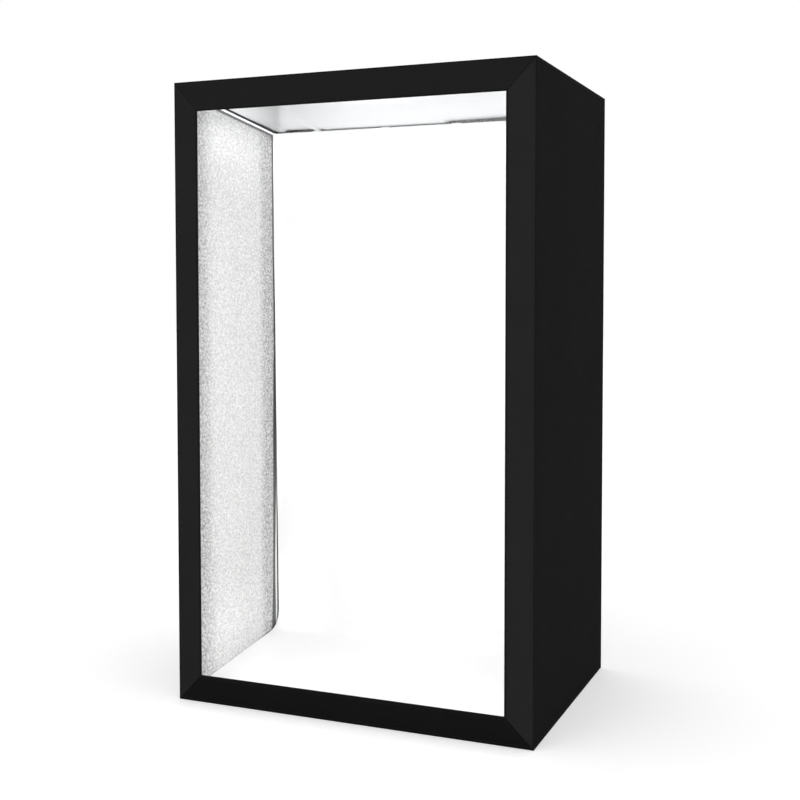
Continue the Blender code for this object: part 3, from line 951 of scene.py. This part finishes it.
def make_backdrop():
    """The white sheet, whose sides curl forward higher up the wall."""
    sway_start, sway_end, sway_height = 0.2, 1.85, 0.0006
    curl_start, curl_run, curl_width = 0.35, 0.5, 0.030
    line, bend_y, before_rod = backdrop_line()
    half = backdrop_halves(line, bend_y, before_rod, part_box("backdrop_sheet")[1].x)
    run = np.gradient(line, axis=0)
    run /= np.linalg.norm(run, axis=1)[:, None]
    normal = np.stack((-run[:, 1], run[:, 0]), axis=1)[:, None]
    across = spaced(1.0, 0.02)
    x = (2 * across - 1) * half[:, None]
    heights = line[:, 1][:, None] * np.ones_like(across)
    sway = ripples(x, heights, 0.5, 200) * sway_height
    free = np.clip((heights - sway_start) / 0.3, 0, 1) * np.clip((sway_end - heights) / 0.2, 0, 1)
    from_edge = half[:, None] - np.abs(x)
    rise = smooth_step((heights - curl_start) / curl_run) * before_rod[:, None]
    curl = sizes().edge_curl * np.clip(1 - from_edge / curl_width, 0, 1) ** 2 * rise
    offset = SHEET_THICKNESS / 2 + sway * free + curl
    front = np.dstack((x, line[:, None] + normal * offset[..., None]))
    back = front.copy()
    back[..., 1:] -= normal * SHEET_THICKNESS
    piece = closed_grid("backdrop_cloth", front, back, white_sheet_finish())
    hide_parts("backdrop_sheet")


def diffuser_surface(y):
    """Height of the ceiling sheet's under side at a Y: it sags behind the front rail."""
    deepest = 0.28
    low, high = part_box("ceiling_diffuser")
    front_z = high.z - SHEET_THICKNESS
    share = (y - low.y) / (high.y - low.y)
    dip = smooth_step(share / deepest) * (1 - share) / (1 - deepest)
    return front_z + (low.z - front_z) * share - sizes().sheet_sag * dip


def make_diffuser():
    """The ceiling sheet, from over the front rail back to the backdrop's top."""
    cloth_thickness, sway_height = 0.0010, 0.0008
    front_margin, rear_margin, free_run = 0.05, 0.04, 0.1
    lift_start, lift_run = -0.06, 0.24
    places, lifts = map(np.array, zip(*REAR_LIFTS))
    low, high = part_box("ceiling_diffuser")
    tongue_half, shoulder_y = front_tongue("top")
    rows = np.concatenate((np.linspace(low.y, shoulder_y - 0.0002, 5),
                           np.linspace(shoulder_y, high.y, 45)))
    half = np.where(rows < shoulder_y, tongue_half, high.x)
    across = np.unique(np.concatenate((spaced(1.0, 0.02), 0.5 + places / (2 * high.x))))
    x = (2 * across - 1) * half[:, None]
    y = rows[:, None] * np.ones_like(across)
    free = np.clip((y - low.y - front_margin) / free_run, 0, 1)
    free *= np.clip((high.y - rear_margin - y) / free_run, 0, 1)
    sway = ripples(x, y, 0.25, 300) * sway_height * free
    lift = np.interp(x, places, lifts) * smooth_step((y - lift_start) / lift_run)
    back = np.dstack((x, y, diffuser_surface(y) + sway + lift))
    front = back.copy()
    front[..., 2] += cloth_thickness
    piece = closed_grid("diffuser_cloth", front, back, diffuser_finish())
    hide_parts("ceiling_diffuser")
    return rows[rows > shoulder_y]


def make_ceiling_skirts(rows):
    """Skirts down the sides of the ceiling sheet: a dark top strip and a grey foot strip of painted
    shadow, with a white tape between.
    """
    shadow_strip_depth, edge_width, thickness, rod_gap, lean = 0.0078, 0.0070, 0.0012, 0.006, 0.0045
    white = tape_finish("skirt_tape", (0.95, 0.955, 0.96), 0.30)
    # The dark and grey strips are painted shadow, for the shade at the skirt's top and at its foot
    dark = tape_finish("skirt_seam", (0.045, 0.045, 0.048))
    grey = tape_finish("skirt_edge", (0.20, 0.20, 0.205))
    height = sizes().skirt_height
    edge = height - edge_width
    bands = (("seam", dark, (0.0006, shadow_strip_depth), 0.0008), ("tape", white, (shadow_strip_depth, edge), 0.0),
             ("edge", grey, (edge, height), 0.0005))
    rows = rows[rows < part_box("backdrop_rod")[0].y - sizes().edge_curl - rod_gap]
    for side, way in SIDES:
        for name, material, band, lift in bands:
            drops = np.array(band)
            outer = way * (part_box("ceiling_diffuser")[1].x + lean * drops / height)
            inner = outer - way * (thickness + lift)
            piece = side_strip(f"skirt_{name}_{side}", (outer, inner), rows[:, None],
                               diffuser_surface(rows)[:, None] - drops, material)


def make_frame_finishes():
    steel = painted_steel_finish()
    black = moulded_finish("moulded_black", (0.03, 0.03, 0.03), 0.5)
    white = moulded_finish("moulded_white", (0.93, 0.93, 0.93), 0.5)
    finishes = ((steel, ("post_", "rail_", "backdrop_rod")), (black, ("corner_", "rod_hanger")),
                (white, ("backdrop_clip",)))
    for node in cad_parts:
        for material, starts in finishes:
            if node.startswith(starts):
                dress(node, material)


def make_bar_finishes():
    aluminium = aluminium_finish()
    lens = lens_finish()
    black = bpy.data.materials["moulded_black"]
    for end in BAR_ENDS:
        bar = f"{end}_bar"
        dress(f"{bar}_housing", aluminium)
        dress(f"{bar}_lens", lens)
        dress(f"{bar}_led_board", led_board_finish(f"{bar}_led_board"))
        for part in ("inlet", "cap_left", "cap_right", "hanger_left", "hanger_right"):
            dress(f"{bar}_{part}", black)


def seen_strength(nodes, strength):
    """A strength for camera, glossy and transmission rays alone, and none for the others."""
    seen = nodes.node("ShaderNodeLightPath", {}, {}, "Is Camera Ray")
    rays = seen.socket.node.outputs
    for ray in ("Is Glossy Ray", "Is Transmission Ray"):
        seen = nodes.largest(seen, Field(nodes, rays[ray]))
    return seen * strength


def make_floor():
    reach, depth = 30.0, -0.0002
    paint = Finish("studio_floor", Base_Color=(0.90, 0.90, 0.90, 1.0), Roughness=0.9,
                   Specular_IOR_Level=0.0, Emission_Color=(1.0, 1.0, 1.0, 1.0))
    paint.feed("Emission Strength", seen_strength(paint, 0.28))
    corners = [(x, y, depth) for x, y in rectangle_corners((-reach, -reach), (reach, reach))]
    mesh = bpy.data.meshes.new("studio_floor")
    mesh.from_pydata(corners, [], [(0, 1, 2, 3)])
    mesh.materials.append(paint.material)
    add_object("studio_floor", mesh)


def make_world():
    """A white world, a little darker as a light than it looks."""
    light = 0.92
    world = bpy.data.worlds.new("studio")
    bpy.context.scene.world = world
    nodes = ShaderNodes(world, "Background", {"Color": (1.0, 1.0, 1.0, 1.0)})
    nodes.feed("Strength", light + seen_strength(nodes, 1.0 - light))


def add_lamp(name, place, aim, size, power, spread=180):
    """A rectangular lamp that no camera sees, with its power in watts and its spread in degrees."""
    lamp = bpy.data.lights.new(name, "AREA")
    lamp.shape = "RECTANGLE"
    lamp.size, lamp.size_y = size
    lamp.energy = power
    lamp.spread = math.radians(spread)
    item = add_object(name, lamp)
    item.location = place
    item.rotation_euler = (Vector(aim) - Vector(place)).to_track_quat("-Z", "Y").to_euler()
    item.visible_camera = False


def make_camera():
    camera = bpy.data.cameras.new("camera")
    camera.sensor_width = SENSOR_MILLIMETRES
    camera.lens = FOCAL_PIXELS * camera.sensor_width / PHOTO_PIXELS
    camera.shift_y = -LEVEL_PIXELS / PHOTO_PIXELS
    item = add_object("camera", camera)
    item.location = CAMERA_PLACE
    item.rotation_euler = Euler([math.radians(turn) for turn in CAMERA_TURN_DEGREES])
    bpy.context.scene.camera = item


def make_lamps():
    """A softbox in front of the box, and lamps inside that light its backdrop evenly."""
    mouth_y = BOX_LOW.y + 0.01
    wall_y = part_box("backdrop_rod")[0].y
    add_lamp("front_softbox", (-1.6, -4.5, 2.6), (0, 0, 1.0), (2.6, 2.6), 25)
    add_lamp("inner_light", (0, mouth_y, 0.85), (0, 1.0, 0.85), (0.95, 1.5), 2.72)
    add_lamp("ceiling_light", (0, -0.10, 1.918), (0, 0, 0), (1.0, 0.4), 1.15)
    add_lamp("top_wash", (0, mouth_y + 0.03, 1.84), (0, wall_y, 1.89), (0.9, 0.06), 0.09, 40)
    add_lamp("rear_gap_light", (0, 0.13, 1.95), (0, BOX_HIGH.y, 1.93), (1.05, 0.02), 0.19, 120)
    for side, way in SIDES:
        lining_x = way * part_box("lining_right")[0].x
        strip_place = (way * 0.44, mouth_y + 0.01, 1.0)
        add_lamp(f"strip_{side}", strip_place, (way * 0.64, wall_y, 1.0), (0.12, 1.75), 0.38, 60)
        for level, z, aim_z, power in (("top", 1.80, 1.90, 0.085), ("foot", 0.20, 0.16, 0.055)):
            corner_place = (way * 0.42, mouth_y + 0.04, z)
            corner_aim = (way * 0.58, wall_y, aim_z)
            add_lamp(f"{level}_corner_{side}", corner_place, corner_aim, (0.10, 0.10), power, 50)
        add_lamp(f"top_side_{side}", (0, -0.12, 1.84), (lining_x, -0.24, 1.965), (0.06, 0.30),
                 0.045, 32)
        add_lamp(f"foot_side_{side}", (0, -0.12, 0.45), (lining_x, -0.32, 0.02), (0.10, 0.30),
                 0.09, 45)


def make_stage():
    make_camera()
    make_floor()
    make_world()
    make_lamps()
    bpy.context.scene.view_settings.view_transform = "Standard"


class LIGHTBOX_OT_stage(bpy.types.Operator):
    """Make the camera, the floor, the world and the lamps"""

    bl_idname = "lightbox.stage"
    bl_label = "Stage"

    def execute(self, context):
        make_stage()
        return {"FINISHED"}


class LIGHTBOX_OT_cover(bpy.types.Operator):
    """Make the black cloth panels and the piped seams between them"""

    bl_idname = "lightbox.cover"
    bl_label = "Cover"

    def execute(self, context):
        make_cover()
        make_piping()
        return {"FINISHED"}


class LIGHTBOX_OT_front(bpy.types.Operator):
    """Make the mitred flaps and the binding round the opening"""

    bl_idname = "lightbox.front"
    bl_label = "Front flaps"

    def execute(self, context):
        make_front()
        return {"FINISHED"}


class LIGHTBOX_OT_stitching(bpy.types.Operator):
    """Sew the stitch rows of the cover and the flaps"""

    bl_idname = "lightbox.stitching"
    bl_label = "Stitching"

    def execute(self, context):
        make_stitching()
        return {"FINISHED"}


class LIGHTBOX_OT_linings(bpy.types.Operator):
    """Make the silver linings"""

    bl_idname = "lightbox.linings"
    bl_label = "Silver linings"

    def execute(self, context):
        make_linings()
        return {"FINISHED"}


class LIGHTBOX_OT_backdrop(bpy.types.Operator):
    """Make the white backdrop"""

    bl_idname = "lightbox.backdrop"
    bl_label = "Backdrop"

    def execute(self, context):
        make_backdrop()
        return {"FINISHED"}


class LIGHTBOX_OT_ceiling(bpy.types.Operator):
    """Make the ceiling sheet and its side skirts"""

    bl_idname = "lightbox.ceiling"
    bl_label = "Ceiling sheet"

    def execute(self, context):
        make_ceiling_skirts(make_diffuser())
        return {"FINISHED"}


class LIGHTBOX_OT_frame(bpy.types.Operator):
    """Finish the tubes, corners, hangers and clips"""

    bl_idname = "lightbox.frame"
    bl_label = "Frame"

    def execute(self, context):
        make_frame_finishes()
        return {"FINISHED"}


class LIGHTBOX_OT_bars(bpy.types.Operator):
    """Finish the two LED bars"""

    bl_idname = "lightbox.bars"
    bl_label = "LED bars"

    def execute(self, context):
        make_bar_finishes()
        return {"FINISHED"}


OPERATORS = (
    LIGHTBOX_OT_stage, LIGHTBOX_OT_cover, LIGHTBOX_OT_front, LIGHTBOX_OT_stitching,
    LIGHTBOX_OT_linings, LIGHTBOX_OT_backdrop, LIGHTBOX_OT_ceiling, LIGHTBOX_OT_frame,
    LIGHTBOX_OT_bars,
)


class LIGHTBOX_PT_panel(bpy.types.Panel):
    """Lists the pieces of the light box and their sizes and colours"""

    bl_idname = "LIGHTBOX_PT_panel"
    bl_label = "Light box"
    bl_space_type = "VIEW_3D"
    bl_region_type = "UI"
    bl_category = "Light box"

    def draw(self, context):
        for group in (context.scene.light_box_sizes, context.scene.light_box_colours):
            for name in group.__annotations__:
                self.layout.prop(group, name)
        for operator in OPERATORS:
            self.layout.operator(operator.bl_idname)


CLASSES = (LightBoxSizes, LightBoxColours, *OPERATORS, LIGHTBOX_PT_panel)


def register():
    for item in CLASSES:
        bpy.utils.register_class(item)
    bpy.types.Scene.light_box_sizes = bpy.props.PointerProperty(type=LightBoxSizes)
    bpy.types.Scene.light_box_colours = bpy.props.PointerProperty(type=LightBoxColours)


def unregister():
    del bpy.types.Scene.light_box_colours
    del bpy.types.Scene.light_box_sizes
    for item in reversed(CLASSES):
        bpy.utils.unregister_class(item)


def main():
    register()
    for operator in OPERATORS:
        group, name = operator.bl_idname.split(".")
        getattr(getattr(bpy.ops, group), name)()


if __name__ == "__main__":
    main()
